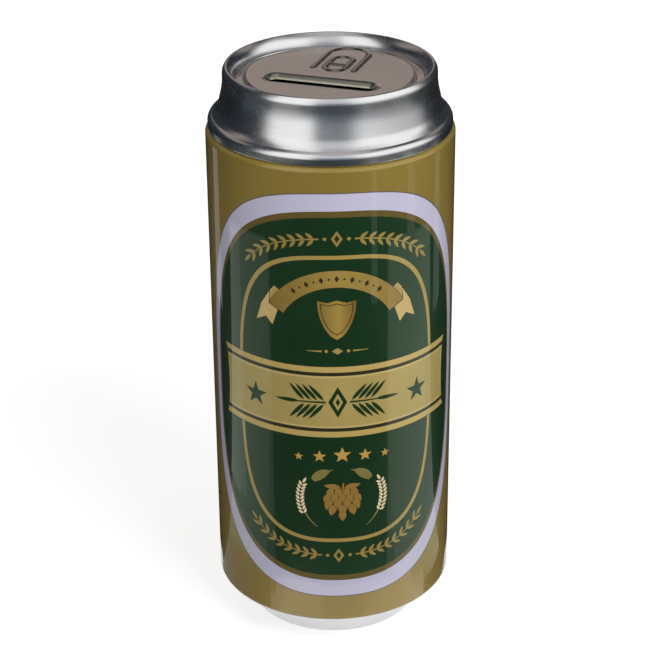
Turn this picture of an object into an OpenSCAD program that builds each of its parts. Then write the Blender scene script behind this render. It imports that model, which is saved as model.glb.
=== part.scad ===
// Coin bank in the form of a drinks can, pressed from tinplate.
// A rolled sleeve is closed by a plug lid with a coin slot and by a drawn base.
// Origin: centre of the foot ring on the ground. Front is -Y, up is +Z.

/* [Sheet] */
// Thickness of the tinplate
sheet = 0.28; // [0.2:0.02:0.4]
// Radial clearance where the lid and the base pass through the sleeve's curls
push_fit = 0.06; // [0.03:0.01:0.1]
// Height left open where a rim rests on a curl
seat_gap = 0.05; // [0.02:0.01:0.1]

/* [Sleeve] */
// Outer diameter of the sleeve
body_d = 66; // [64:0.5:72]
// Length of the sleeve over its two curls
body_len = 134.7; // [100:0.5:170]
// Outer radius of the curled edges
curl_r = 1.3; // [1.1:0.05:1.5]
// Height of the sleeve's lower edge above the ground
body_lift = 9.6; // [8:0.2:12]
// Width of the folded side seam at the back
seam_w = 3.6; // [2.5:0.1:6]
// Distance of the fold's ends from the lid's skirt and the base's edge
seam_clear = 1.5; // [1:0.1:5]
// Width of the line that the seam leaves on the outside
seam_line_w = 0.5; // [0.3:0.05:0.8]
// Depth of that line
seam_line_d = 0.1; // [0.06:0.01:0.14]

/* [Lid] */
// Height of the rim's crest above the sleeve, before it is rounded
lid_h = 16.75; // [15.5:0.25:20]
// Step from the sleeve in to the stop bead
bead_step = 0.7; // [0.4:0.1:1.2]
// Height of the stop bead
bead_h = 3.65; // [3:0.05:4.5]
// Fall of the bead's rounded top from the crease out to its side
bead_fall = 0.6; // [0.4:0.05:1]
// Diameter of the crease between the stop bead and the shoulder
crease_d = 62; // [60:0.1:63]
// Height of the shoulder's foot above the stop bead
shoulder_h = 1.5; // [1.2:0.1:2.2]
// Diameter of the neck under the rim
neck_d = 56.3; // [52:0.1:58]
// Height at which the neck starts to widen
flare_z = 11.5; // [9.5:0.1:12.5]
// Widening of the neck's radius down to the shoulder
flare = 1.5; // [1.2:0.1:1.8]
// Distance of the rim's crest in from the neck
crest_in = 0.95; // [0.8:0.05:1.2]
// Fall of the rim's rounded outer side from the crest to the neck
crest_drop = 1.45; // [1.2:0.05:1.7]
// Width of the rim, from the neck in to the foot of its inner flank
rim_w = 2.8; // [2.5:0.1:3.2]
// Fall of the rim's inner flank from the crest
flank_drop = 1.75; // [1.5:0.05:2]
// Lean of the wall between that flank and the groove
wall_lean = 0.6; // [0.4:0.1:0.9]
// Depth of the panel below the rim's crest
panel_drop = 2.85; // [2.5:0.05:3.5]
// Depth of the groove round the panel
groove_drop = 1.4; // [0.8:0.1:2]
// Width of the groove's floor
groove_w = 2.15; // [1.8:0.05:2.5]
// Width of the slope between the groove and the flat panel
groove_slope = 0.6; // [0.4:0.05:0.8]
// Length of the skirt that plugs into the sleeve
skirt_len = 8.5; // [6:0.5:14]
// Length of the skirt's tapered end
nose_len = 1.5; // [1:0.1:2.5]
// Inward taper of that end
nose_in = 0.5; // [0.3:0.1:0.7]
// Turn of the lid about the can's axis, clockwise from above
lid_turn = 22; // [0:1:90]

/* [Coin slot] */
// Length of the slot's opening
slot_len = 28.3; // [27:0.1:30]
// Width of the slot's opening
slot_gap = 3.8; // [3:0.1:4]
// Width of the lip that is turned down round the slot
lip_w = 2.4; // [1.8:0.1:2.6]
// Drop from the panel to the lip's edge
lip_drop = 1.3; // [1:0.1:1.6]
// Distance of the slot in front of the can's axis
slot_front = 7.2; // [6.5:0.1:8]

/* [Ring-pull embossing] */
// Width of a raised line
line_w = 1.5; // [1.2:0.1:1.8]
// Height of a raised line
line_h = 0.42; // [0.3:0.02:0.5]
// Width of the tab, between its lines' centres
tab_w = 11.2; // [10:0.2:12]
// Distance from the edge of the panel to the tab's round end
tab_edge = 1.3; // [1.1:0.1:2]
// Length of the tab's outline
tab_len = 18; // [15:0.5:18]
// Width of the finger loop, between its lines' centres
loop_w = 5.5; // [4.5:0.1:6]
// Length of the finger loop, between its lines' centres
loop_len = 11.7; // [10:0.1:12]
// Distance of the loop's near end behind the can's axis
loop_back = 1.6; // [1.2:0.1:2]
// Place of the crossbar along the loop, from its near end
bar_at = 5.1; // [4:0.1:7]

/* [Base] */
// Outer diameter of the foot ring, where its taper starts
foot_d = 47.2; // [44:0.2:50]
// Width of the foot ring
foot_w = 1.8; // [1.6:0.1:2.4]
// Height of the foot ring's inner wall
foot_h = 1.6; // [1.2:0.1:2]
// Inward lean of that wall
foot_lean = 0.9; // [0.6:0.1:1.2]
// Height of the hollow under the base
hollow_h = 6.2; // [5:0.2:7]
// Width of the hollow's rounded flank
flank_w = 8.1; // [7:0.1:9]
// Length of the straight wall under the sleeve's lower edge
base_plug = 1; // [0.6:0.1:1.4]
// Height of the base's upright edge inside the sleeve
edge_h = 4.2; // [3:0.2:8]
// Gap between that edge and the sleeve's wall
edge_gap = 0.12; // [0.1:0.01:0.2]

/* [Bends] */
// Tightest bend in the sheet, at the lid's seat and the base's rim
seat_bend = 0.3; // [0.2:0.02:0.4]
// Bend at the corners of the panel, the groove and the stop bead
press_bend = 0.5; // [0.45:0.01:0.6]
// Bend in the crease between the stop bead and the shoulder
crease_bend = 0.35; // [0.3:0.05:0.5]
// Bend of the stop bead's rounded top
bead_bend = 1.9; // [1:0.1:2.1]
// Bend at the foot of the rim's inner flank
flank_bend = 4.8; // [3:0.1:4.8]
// Bend at the rim's crest
crest_bend = 0.55; // [0.45:0.01:0.7]
// Bend between the rim's outer side and the neck
rim_bend = 2.6; // [2:0.1:2.8]
// Bend at the shoulder's foot
shoulder_bend = 5.3; // [4:0.1:5.3]
// Bend where the neck starts to widen
neck_bend = 18; // [12:1:18]
// Bend at the skirt's taper and the base's wall
wall_bend = 2; // [1.5:0.1:2.5]
// Bend on the outer side of the foot ring
foot_bend = 0.9; // [0.7:0.05:1.1]
// Bend on the inner side of the foot ring
ring_bend = 0.6; // [0.5:0.05:0.7]
// Bend at the top of the foot ring's inner wall
hollow_bend = 1.2; // [0.9:0.1:1.5]
// Bend between the hollow's flank and its flat middle
middle_bend = 16.8; // [12:0.2:16.8]

/* [Hidden] */
$fn = 128;

tin = [0.74, 0.75, 0.77];
lacquer = [0.62, 0.52, 0.26];

body_r = body_d / 2;
wall_r = body_r - sheet;
bore_r = body_r - 2 * curl_r;
plug_r = bore_r - push_fit;
body_top = body_lift + body_len;
lid_z = body_top + seat_gap;
base_seat_z = body_lift + 2 * curl_r + seat_gap;
panel_z = lid_h - panel_drop;
rim_in_r = neck_d / 2 - rim_w;
groove_r = rim_in_r - wall_lean;
panel_r = groove_r - groove_w - groove_slope;
tab_back = panel_r - tab_edge;
foot_in_r = foot_d / 2 - foot_w;
// Width over which the slot's lip laps on to the panel
lip_land = 0.3;
// Points nearer to the can's axis than this are drawn on it
axis_reach = 0.001;
// Share of a straight that the bends at its ends may take
bend_room = 0.96;
// An arc is drawn in steps of this angle
arc_step = 12;
// A curl is rolled through this angle from the wall
curl_turn = 290;

function last(v) = v[len(v) - 1];
function reversed(v) = [for (i = [len(v) - 1:-1:0]) v[i]];
function unit(v) = v / norm(v);
function left_of(v) = [-v[1], v[0]];

// Points on an arc about c, from angle a0 to angle a1
function arc(c, r, a0, a1) =
    let (n = max(2, ceil(abs(a1 - a0) / arc_step)))
    [for (i = [0:n]) let (a = a0 + (a1 - a0) * i / n) c + r * [cos(a), sin(a)]];

// What a bend of radius r at station b would take of the straights towards a and c
function bend_reach(a, b, c, r) = r / tan(acos(max(-1, min(1, unit(a - b) * unit(c - b)))) / 2);

// The rounded corner at station b of a path that comes from a and goes on to c,
// where cut is the length that the bend takes of each straight
function corner(a, b, c, cut) =
    let (
        u = unit(a - b),
        v = unit(c - b),
        half = acos(max(-1, min(1, u * v))) / 2,
        centre = b + unit(u + v) * cut / cos(half),
        start = b + u * cut - centre,
        end = b + v * cut - centre,
        a0 = atan2(start[1], start[0]),
        turn = (atan2(end[1], end[0]) - a0 + 540) % 360 - 180
    )
    arc(centre, norm(start), a0, a0 + turn);

// A path through stations [radius, height, corner radius] with its corners rounded.
// Two bends that want more than the straight between them share it as they would fill it.
function rounded(s) =
    let (
        p = [for (q = s) [q[0], q[1]]],
        n = len(s) - 1,
        reach = [for (i = [0:n]) i % n == 0 ? 0 : bend_reach(p[i - 1], p[i], p[i + 1], s[i][2])],
        room = [for (i = [1:n]) bend_room * norm(p[i] - p[i - 1]) / (reach[i] + reach[i - 1])]
    )
    [
        p[0],
        for (i = [1:n - 1])
            each corner(p[i - 1], p[i], p[i + 1], reach[i] * min(1, room[i - 1], room[i])),
        last(p)
    ];

// The path moved sideways by t, to its left where t is positive
function beside(p, t) =
    [for (i = [0:len(p) - 1])
        let (
            before = left_of(unit(p[max(i, 1)] - p[max(i, 1) - 1])),
            after = left_of(unit(p[min(i, len(p) - 2) + 1] - p[min(i, len(p) - 2)]))
        )
        p[i] + t * (before + after) / (1 + before * after)];

// A section through sheet metal: the path is one face and the other lies t to its left.
// What lies within axis_reach of the axis that it is turned about lies on the axis.
module sheet_section(path, t) {
    outline = concat(path, reversed(beside(path, t)));
    polygon([for (q = outline) [q[0] < axis_reach ? 0 : q[0], q[1]]]);
}

// Carries a section round a stadium: two straight sides of length l and two round ends.
// The section's x is measured outwards from the stadium's centre line.
module round_stadium(l) {
    for (side = [-1, 1]) {
        translate([side * l / 2, 0, 0])
            rotate([0, 0, -90 * side])
                rotate_extrude(angle = 180) children();
        translate([side * l / 2, 0, 0])
            rotate([90, 0, 90 * side]) mirror([0, 0, 1])
                linear_extrude(height = l) children();
    }
}

// The sleeve: a rolled tube with both edges curled inwards and a folded seam at the back
module body_shell() {
    curl_c = body_r - curl_r;
    low = arc([curl_c, body_lift + curl_r], curl_r, 360 - curl_turn, 360);
    high = arc([curl_c, body_top - curl_r], curl_r, 0, curl_turn);
    color(lacquer) difference() {
        union() {
            rotate_extrude() sheet_section(concat(low, high), sheet);
            seam_fold();
        }
        translate([-seam_line_w / 2, body_r - seam_line_d, body_lift + 2 * curl_r])
            cube([seam_line_w, body_r, body_len - 4 * curl_r]);
    }
}

// The sheet folded over inside the sleeve, to one side of the line that shows outside
module seam_fold() {
    fold_z = base_seat_z + edge_h + seam_clear;
    fold_top = lid_z - skirt_len - seam_clear;
    translate([0, 0, fold_z])
        rotate([0, 0, 90])
            rotate_extrude(angle = seam_w / wall_r * 180 / PI)
                translate([wall_r - 2 * sheet, 0])
                    square([2.5 * sheet, fold_top - fold_z]);
}

// Face of the lid from its centre out over the rim and down to the skirt's edge
function lid_path() = rounded([
    [0, panel_z, 0],
    [panel_r, panel_z, press_bend],
    [groove_r - groove_w, panel_z - groove_drop, press_bend],
    [groove_r, panel_z - groove_drop, press_bend],
    [rim_in_r, lid_h - flank_drop, flank_bend],
    [neck_d / 2 - crest_in, lid_h, crest_bend],
    [neck_d / 2, lid_h - crest_drop, rim_bend],
    [neck_d / 2, flare_z, neck_bend],
    [neck_d / 2 + flare, bead_h + shoulder_h, shoulder_bend],
    [crease_d / 2, bead_h, crease_bend],
    [body_r - bead_step, bead_h - bead_fall, bead_bend],
    [body_r - bead_step, 0, press_bend],
    [plug_r, 0, seat_bend],
    [plug_r, nose_len - skirt_len, wall_bend],
    [plug_r - nose_in, -skirt_len, 0]
]);

// Section of the lip round the slot: a flat land on the panel, then an arc down to its edge
module lip_section() {
    turn = 2 * atan(lip_drop / lip_w);
    lip_r = lip_w / sin(turn);
    c = [slot_gap / 2 + lip_w, -lip_r];
    land_x = c[0] + lip_land;
    polygon(concat(
        [[land_x, 0]],
        arc(c, lip_r, 90, 90 + turn),
        arc(c, lip_r - sheet, 90 + turn, 90),
        [[land_x, -sheet]]
    ));
}

module slot_lip() {
    round_stadium(slot_len - slot_gap) lip_section();
}

module slot_blank() {
    l = slot_len - slot_gap;
    r = slot_gap / 2 + lip_w;
    translate([0, 0, -2 * sheet]) linear_extrude(height = 4 * sheet) {
        square([l, 2 * r], center = true);
        for (side = [-1, 1]) translate([side * l / 2, 0]) circle(r);
    }
}

// Raised line: the cap of a circle standing line_h above the sheet, or the hollow beneath it
bow_r = (pow(line_w / 2, 2) + pow(line_h, 2)) / (2 * line_h);
module line_section(hollow) {
    r = hollow ? bow_r - sheet : bow_r;
    floor_z = hollow ? -2 * sheet : -sheet;
    intersection() {
        translate([0, line_h - bow_r]) circle(r);
        translate([-line_w, floor_z]) square([2 * line_w, line_w]);
    }
}

module half_line_section(hollow) {
    intersection() {
        line_section(hollow);
        translate([0, -line_w]) square([line_w, 2 * line_w]);
    }
}

module straight_line(l, hollow) {
    rotate([90, 0, 180]) linear_extrude(height = l) line_section(hollow);
}

module bent_line(r, hollow) {
    rotate_extrude(angle = 180) translate([r, 0]) line_section(hollow);
}

// Embossing in the shape of a can's ring-pull: a tab outline, a finger loop and its crossbar
module ring_pull(hollow) {
    bend_y = tab_back - tab_w / 2;
    leg = tab_len - tab_w / 2;
    far_y = loop_back + loop_len - loop_w / 2;
    near_y = loop_back + loop_w / 2;
    translate([0, bend_y, 0]) bent_line(tab_w / 2, hollow);
    for (side = [-1, 1]) {
        translate([side * tab_w / 2, bend_y - leg, 0]) {
            straight_line(leg, hollow);
            rotate_extrude() half_line_section(hollow);
        }
        translate([side * loop_w / 2, near_y, 0]) straight_line(far_y - near_y, hollow);
    }
    translate([0, far_y, 0]) bent_line(loop_w / 2, hollow);
    translate([0, near_y, 0]) rotate([0, 0, 180]) bent_line(loop_w / 2, hollow);
    translate([loop_w / 2, loop_back + bar_at, 0])
        rotate([0, 0, 90]) straight_line(loop_w, hollow);
}

// The lid: one drawn sheet with a skirt, stop bead, shoulder, neck, rim and sunk panel
module lid() {
    color(tin) translate([0, 0, lid_z]) rotate([0, 0, -lid_turn]) {
        difference() {
            union() {
                rotate_extrude() sheet_section(lid_path(), -sheet);
                translate([0, 0, panel_z]) ring_pull(false);
            }
            translate([0, 0, panel_z]) ring_pull(true);
            translate([0, -slot_front, panel_z]) slot_blank();
        }
        translate([0, -slot_front, panel_z]) slot_lip();
    }
}

// Face of the base from its centre under the foot ring and up to its edge in the sleeve
function base_path() = rounded([
    [0, hollow_h, 0],
    [foot_in_r - foot_lean - flank_w, hollow_h, middle_bend],
    [foot_in_r - foot_lean, foot_h, hollow_bend],
    [foot_in_r, 0, ring_bend],
    [foot_d / 2, 0, foot_bend],
    [plug_r, body_lift - base_plug, wall_bend],
    [plug_r, base_seat_z, seat_bend],
    [wall_r - edge_gap, base_seat_z, press_bend],
    [wall_r - edge_gap, base_seat_z + edge_h, 0]
]);

// The base: a drawn cup that tapers to a foot ring and rests on the sleeve's lower curl
module base() {
    color(tin) rotate_extrude() sheet_section(base_path(), sheet);
}

body_shell();
lid();
base();
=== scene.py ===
# Visual model of a can-shaped coin bank: printed sleeve, drawn lid with a coin slot, drawn base.
# Lengths are in millimetres in the shape functions and become metres when a mesh is made.
import math

import bpy
import numpy as np
from mathutils import Matrix, Vector
from mathutils.geometry import delaunay_2d_cdt


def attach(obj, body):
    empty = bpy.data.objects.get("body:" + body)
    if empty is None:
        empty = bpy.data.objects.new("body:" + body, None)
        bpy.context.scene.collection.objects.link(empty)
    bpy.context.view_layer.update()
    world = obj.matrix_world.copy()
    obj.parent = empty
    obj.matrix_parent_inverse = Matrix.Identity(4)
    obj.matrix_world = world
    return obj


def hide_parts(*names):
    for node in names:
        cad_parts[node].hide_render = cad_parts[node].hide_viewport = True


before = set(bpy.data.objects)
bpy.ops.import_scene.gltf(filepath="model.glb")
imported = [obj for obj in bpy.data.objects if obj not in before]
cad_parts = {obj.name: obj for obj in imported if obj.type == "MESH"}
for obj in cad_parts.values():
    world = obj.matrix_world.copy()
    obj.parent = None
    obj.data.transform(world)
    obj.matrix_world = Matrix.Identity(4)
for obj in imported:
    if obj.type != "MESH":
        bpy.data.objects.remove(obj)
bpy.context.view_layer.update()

MM = 0.001

# Sheet and sleeve, as in the CAD source
SHEET = 0.28
PUSH_FIT = 0.06
SEAT_GAP = 0.05
BODY_R = 33.0
BODY_LEN = 134.7
CURL_R = 1.3
BODY_LIFT = 9.6
SEAM_W = 3.6
SEAM_CLEAR = 1.5
SEAM_LINE_W = 0.5
SEAM_LINE_D = 0.1
CURL_TURN = 290
WALL_R = BODY_R - SHEET
PLUG_R = BODY_R - 2 * CURL_R - PUSH_FIT
BODY_TOP = BODY_LIFT + BODY_LEN
LID_Z = BODY_TOP + SEAT_GAP
BASE_SEAT_Z = BODY_LIFT + 2 * CURL_R + SEAT_GAP
SEAM_LINE_LOW = BODY_LIFT + 2 * CURL_R
SEAM_LINE_HIGH = BODY_TOP - 2 * CURL_R

# Lid
LID_H = 16.75
BEAD_STEP = 0.7
BEAD_H = 3.65
BEAD_FALL = 0.6
CREASE_R = 31.0
SHOULDER_H = 1.5
NECK_R = 28.15
FLARE_Z = 11.5
FLARE = 1.5
CREST_IN = 0.95
CREST_DROP = 1.45
RIM_W = 2.8
FLANK_DROP = 1.75
WALL_LEAN = 0.6
PANEL_Z = LID_H - 2.85
GROOVE_DROP = 1.4
GROOVE_W = 2.15
GROOVE_SLOPE = 0.6
SKIRT_LEN = 8.5
NOSE_LEN = 1.5
NOSE_IN = 0.5
LID_TURN = 22
RIM_IN_R = NECK_R - RIM_W
GROOVE_R = RIM_IN_R - WALL_LEAN
PANEL_R = GROOVE_R - GROOVE_W - GROOVE_SLOPE

# Coin slot and ring-pull embossing
SLOT_LEN = 28.3
SLOT_GAP = 3.8
LIP_W = 2.4
LIP_DROP = 1.3
LIP_TURN = 2 * math.atan(LIP_DROP / LIP_W)
SLOT_FRONT = 7.2
LINE_H = 0.42
TAB_W = 11.2
TAB_BACK = PANEL_R - 1.3
TAB_LEN = 18.0
LOOP_W = 5.5
LOOP_LEN = 11.7
LOOP_BACK = 1.6
BAR_AT = 5.1

# Base
FOOT_R = 23.6
FOOT_W = 1.8
FOOT_H = 1.6
FOOT_LEAN = 0.9
HOLLOW_H = 6.2
FLANK_W = 8.1
BASE_PLUG = 1.0
EDGE_H = 4.2
EDGE_GAP = 0.12

# Ends of the seam's fold, between the base's edge and the lid's skirt
FOLD_LOW = BASE_SEAT_Z + EDGE_H + SEAM_CLEAR
FOLD_HIGH = LID_Z - SKIRT_LEN - SEAM_CLEAR

# Radii of the bends, as in the CAD source, and the share of a straight that its bends may take
SEAT_BEND = 0.3
PRESS_BEND = 0.5
CREASE_BEND = 0.35
BEAD_BEND = 1.9
FLANK_BEND = 4.8
CREST_BEND = 0.55
RIM_BEND = 2.6
SHOULDER_BEND = 5.3
NECK_BEND = 18
WALL_BEND = 2
FOOT_BEND = 0.9
RING_BEND = 0.6
HOLLOW_BEND = 1.2
MIDDLE_BEND = 16.8
BEND_ROOM = 0.96

# Softer edges that only the fine meshes have: the sides and ends of the seam's line and fold,
# the foot of a raised line, and its fade towards the panel's rim
SEAM_LINE_EDGE = 0.12
SEAM_LINE_END = 0.5
FOLD_EDGE = 0.1
LINE_REACH = 1.05
LINE_FADE = 0.3
LINE_LIMIT_R = PANEL_R - 0.4

# Width of the ring round the slot where the metal is darker and olive: painted shade of the turned-down lip
LIP_SHADE_W = 1.2

# Mesh fineness: columns round the can, degrees between the points of a bend or curl, grids on
# the panel, rings round the slot, the printed wall's rows, and how near points are one or lie
# on the seam
SLEEVE_COLUMNS = 180
LID_COLUMNS = 208
ARC_STEP = 4.0
CURL_STEP = 8
FINE_GRID = 0.2
COARSE_GRID = 1.1
SLOT_RINGS = (0, 0.12, 0.3, 0.55, 0.85, 1.2, 1.55, 1.9, 2.2, LIP_W, 2.55)
WALL_ROWS = np.arange(20, 140, 7.5)
CLOSE = 1e-5
SEAM_CLOSE = 0.001


def step_up(distance, width):
    """0 at no distance, rising evenly to 1 at a distance of width."""
    return np.clip(distance / width, 0, 1)


def unit(v):
    """A vector, or each row of vectors, made 1 long."""
    return v / np.linalg.norm(v, axis=-1, keepdims=True)


def left_of(v):
    """A flat vector, or each row of them, turned left by a right angle."""
    return np.stack([-v[..., 1], v[..., 0]], -1)


def triangulated(verts, edges, faces, with_owners):
    """Points and triangles between fixed edges and outlines, and the outlines that each lies in."""
    flat, _, tris, _, _, owners = delaunay_2d_cdt(verts, edges, faces, 0, CLOSE, with_owners)
    return np.array([tuple(v) for v in flat]), np.array(tris), owners


# Outlines of bent sheet

def arc(centre, r, a0, a1, step=ARC_STEP):
    """Points on an arc from angle a0 to a1, in degrees."""
    n = max(2, math.ceil(abs(a1 - a0) / step))
    a = np.radians(np.linspace(a0, a1, n + 1))
    return np.c_[centre[0] + r * np.cos(a), centre[1] + r * np.sin(a)]


def half_angle(a, b, c):
    """Half the angle at b between the straights towards a and c."""
    return math.acos(max(-1.0, min(1.0, float(unit(a - b) @ unit(c - b))))) / 2


def bend_reach(a, b, c, r):
    """What a bend of radius r at b would take of the straights towards a and c."""
    return r / math.tan(half_angle(a, b, c))


def bend(a, b, c, cut):
    """The rounded corner at b of a path from a to c that takes a length cut of each straight."""
    u, v = unit(a - b), unit(c - b)
    centre = b + unit(u + v) * cut / math.cos(half_angle(a, b, c))
    start, end = b + u * cut - centre, b + v * cut - centre
    a0 = math.degrees(math.atan2(start[1], start[0]))
    turn = (math.degrees(math.atan2(end[1], end[0])) - a0 + 540) % 360 - 180
    return arc(centre, np.linalg.norm(start), a0, a0 + turn)


def rounded(stations):
    """A path through stations (radius, height, bend radius) with its corners rounded."""
    p = np.array([s[:2] for s in stations], float)
    inner = range(1, len(p) - 1)
    reach = np.array([0, *(bend_reach(p[i - 1], p[i], p[i + 1], stations[i][2]) for i in inner), 0])
    room = BEND_ROOM * np.linalg.norm(np.diff(p, axis=0), axis=1) / (reach[1:] + reach[:-1])
    cuts = [reach[i] * min(1, room[i - 1], room[i]) for i in inner]
    bends = [bend(p[i - 1], p[i], p[i + 1], cut) for i, cut in zip(inner, cuts)]
    return np.vstack([p[:1], *bends, p[-1:]])


def left_normals(path):
    """Unit normals to the left of a path."""
    left = left_of(unit(np.diff(path, axis=0)))
    return unit(np.vstack([left[:1], left[:-1] + left[1:], left[-1:]]))


def lid_path():
    """The lid's outer face from the middle of its panel to the end of its skirt."""
    return rounded([
        (0, PANEL_Z, 0),
        (PANEL_R, PANEL_Z, PRESS_BEND),
        (GROOVE_R - GROOVE_W, PANEL_Z - GROOVE_DROP, PRESS_BEND),
        (GROOVE_R, PANEL_Z - GROOVE_DROP, PRESS_BEND),
        (RIM_IN_R, LID_H - FLANK_DROP, FLANK_BEND),
        (NECK_R - CREST_IN, LID_H, CREST_BEND),
        (NECK_R, LID_H - CREST_DROP, RIM_BEND),
        (NECK_R, FLARE_Z, NECK_BEND),
        (NECK_R + FLARE, BEAD_H + SHOULDER_H, SHOULDER_BEND),
        (CREASE_R, BEAD_H, CREASE_BEND),
        (BODY_R - BEAD_STEP, BEAD_H - BEAD_FALL, BEAD_BEND),
        (BODY_R - BEAD_STEP, 0, PRESS_BEND),
        (PLUG_R, 0, SEAT_BEND),
        (PLUG_R, NOSE_LEN - SKIRT_LEN, WALL_BEND),
        (PLUG_R - NOSE_IN, -SKIRT_LEN, 0),
    ])


def base_path():
    """The base's outer face from the middle of its hollow to the top of its edge."""
    foot_in_r = FOOT_R - FOOT_W
    return rounded([
        (0, HOLLOW_H, 0),
        (foot_in_r - FOOT_LEAN - FLANK_W, HOLLOW_H, MIDDLE_BEND),
        (foot_in_r - FOOT_LEAN, FOOT_H, HOLLOW_BEND),
        (foot_in_r, 0, RING_BEND),
        (FOOT_R, 0, FOOT_BEND),
        (PLUG_R, BODY_LIFT - BASE_PLUG, WALL_BEND),
        (PLUG_R, BASE_SEAT_Z, SEAT_BEND),
        (WALL_R - EDGE_GAP, BASE_SEAT_Z, PRESS_BEND),
        (WALL_R - EDGE_GAP, BASE_SEAT_Z + EDGE_H, 0),
    ])


# Meshes of sheet metal, gathered with exact normals

class Skin:
    """Surfaces gathered as points with normals; points in one place become one vertex."""

    def __init__(self):
        self.co, self.no, self.parts = [], [], []
        self.count = 0

    def add(self, co, no):
        """Adds points and gives their numbers."""
        co = np.asarray(co, float)
        self.co.append(co)
        self.no.append(np.broadcast_to(np.asarray(no, float), co.shape))
        self.count += len(co)
        return np.arange(self.count - len(co), self.count)

    def faces(self, corners, inks=0):
        """Adds faces by their points' numbers, with one ink for all or one for each."""
        corners = np.asarray(corners)
        self.parts.append((corners, np.broadcast_to(inks, len(corners))))

    def ring(self, low, high, ink=0):
        """Quads between two closed rows of points."""
        self.faces(np.c_[low, np.roll(low, -1), np.roll(high, -1), high], ink)

    def cut_edge(self, low, high, normals):
        """Closes the sheet's cut edge between two rows; it is shaded with normals of its own."""
        co = np.vstack(self.co)
        self.ring(self.add(co[low], normals), self.add(co[high], normals))

    def turned(self, degrees, lift):
        """Turns all the points about the can's axis and lifts them."""
        a = math.radians(degrees)
        m = np.array([[math.cos(a), math.sin(a), 0], [-math.sin(a), math.cos(a), 0], [0, 0, 1]])
        self.co = [co @ m + (0, 0, lift) for co in self.co]
        self.no = [no @ m for no in self.no]

    def build(self, name, materials):
        """Makes the object: joins points, winds faces along their normals and drops collapsed ones."""
        co, no = np.vstack(self.co), np.vstack(self.no)
        _, first, vertex = np.unique(np.round(co, 4), axis=0, return_index=True, return_inverse=True)
        vertex = vertex.ravel()
        loops, inks, normals = [], [], []
        for corners, ink in self.parts:
            p = co[corners]
            area = np.cross(p[:, 2] - p[:, 0], p[:, -1] - p[:, 1])
            inward = (area * no[corners].sum(1)).sum(1) < 0
            corners = np.where(inward[:, None], corners[:, ::-1], corners)
            joined = vertex[corners]
            fresh = joined != np.roll(joined, 1, axis=1)
            for row, ids, keep, k in zip(corners, joined, fresh, ink):
                if keep.sum() >= 3:
                    loops.append(ids[keep].tolist())
                    inks.append(int(k))
                    normals.append(no[row[keep]])
        mesh = bpy.data.meshes.new(name)
        mesh.from_pydata((co[first] * MM).tolist(), [], loops)
        for m in materials:
            mesh.materials.append(m)
        mesh.polygons.foreach_set("material_index", inks)
        mesh.polygons.foreach_set("use_smooth", [True] * len(loops))
        mesh.normals_split_custom_set(np.vstack(normals).tolist())
        obj = bpy.data.objects.new(name, mesh)
        bpy.context.scene.collection.objects.link(obj)
        return obj


def around(angles, r, z, nr, nz):
    """Points at radius r and height z at each angle from the front, and normals of slope (nr, nz)."""
    s, c = np.sin(angles), -np.cos(angles)
    one = np.ones_like(s)
    return np.c_[r * s, r * c, z * one], np.c_[nr * s, nr * c, nz * one]


def lathe(skin, path, normals, angles, ink=0, shift=None):
    """Revolves a path; shift(angles, z) moves the wall outwards. Gives the first and last rows."""
    rows = []
    for (r, z), (nr, nz) in zip(path, normals):
        radius = r + shift(angles, z) if shift else r
        rows.append(skin.add(*around(angles, radius, z, nr, nz)))
    for low, high in zip(rows, rows[1:]):
        skin.ring(low, high, ink)
    return rows[0], rows[-1]


def end_ring(skin, a, b, angles, path):
    """Closes the cut edge at a path's last point, which faces along the path."""
    skin.cut_edge(a, b, around(angles, 0, 0, *unit(path[-1] - path[-2]))[1])


# Outlines of the printed label. s is the arc along the wall from the front, z the height.

def closed(points):
    """An outline as the pairs of plain numbers that the triangulation takes."""
    return [tuple(map(float, p)) for p in points]


def superellipse(centre, a, b, n, steps=240):
    """An oval of half width a and half height b, squarer the larger n is."""
    t = np.linspace(0, 2 * np.pi, steps, endpoint=False)
    c, s = np.cos(t), np.sin(t)
    x = a * np.sign(c) * np.abs(c) ** (2 / n)
    y = b * np.sign(s) * np.abs(s) ** (2 / n)
    return closed(np.c_[centre[0] + x, centre[1] + y])


def ellipse(centre, a, b, turn, steps):
    t = np.linspace(0, 2 * np.pi, steps, endpoint=False)
    k = math.radians(turn)
    x, y = a * np.cos(t), b * np.sin(t)
    return closed(np.c_[centre[0] + x * math.cos(k) - y * math.sin(k),
                        centre[1] + x * math.sin(k) + y * math.cos(k)])


def lozenge(centre, a, b, turn=0.0):
    return ellipse(centre, a, b, turn, 4)


def dot(centre, r, turn=0.0):
    return ellipse(centre, r, r, turn, 12)


def star(centre, r, waist=0.39):
    """A five-pointed star; waist is the share of r at its inner corners."""
    a = np.radians(90 + 36 * np.arange(10))
    rr = np.where(np.arange(10) % 2, r * waist, r)
    return closed(np.c_[centre[0] + rr * np.cos(a), centre[1] + rr * np.sin(a)])


def seed(tip, root, width, steps=7):
    """A pointed grain between its root and its tip."""
    root, tip = np.array(root, float), np.array(tip, float)
    t = np.linspace(0, 1, steps)
    middle = root + np.outer(t, tip - root)
    wide = np.outer(width / 2 * np.sin(np.pi * t ** 0.8) ** 0.8, left_of(unit(tip - root)))
    return closed(np.vstack([middle + wide, (middle - wide)[-2:0:-1]]))


def stroke(points, width, taper=(1.0, 1.0)):
    """A line with a width that changes evenly from its first point to its last."""
    p = np.array(points, float)
    n = left_normals(p)
    w = width / 2 * np.linspace(taper[0], taper[1], len(p))[:, None]
    return closed(np.vstack([p + n * w, (p - n * w)[::-1]]))


def turns_right(points):
    """Whether an outline runs clockwise."""
    s, z = np.array(points).T
    return s @ np.roll(z, -1) < z @ np.roll(s, -1)


def mirrored(points, s0):
    """An outline mirrored about the upright line at s0."""
    return [(2 * s0 - s, z) for s, z in reversed(points)]


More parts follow.
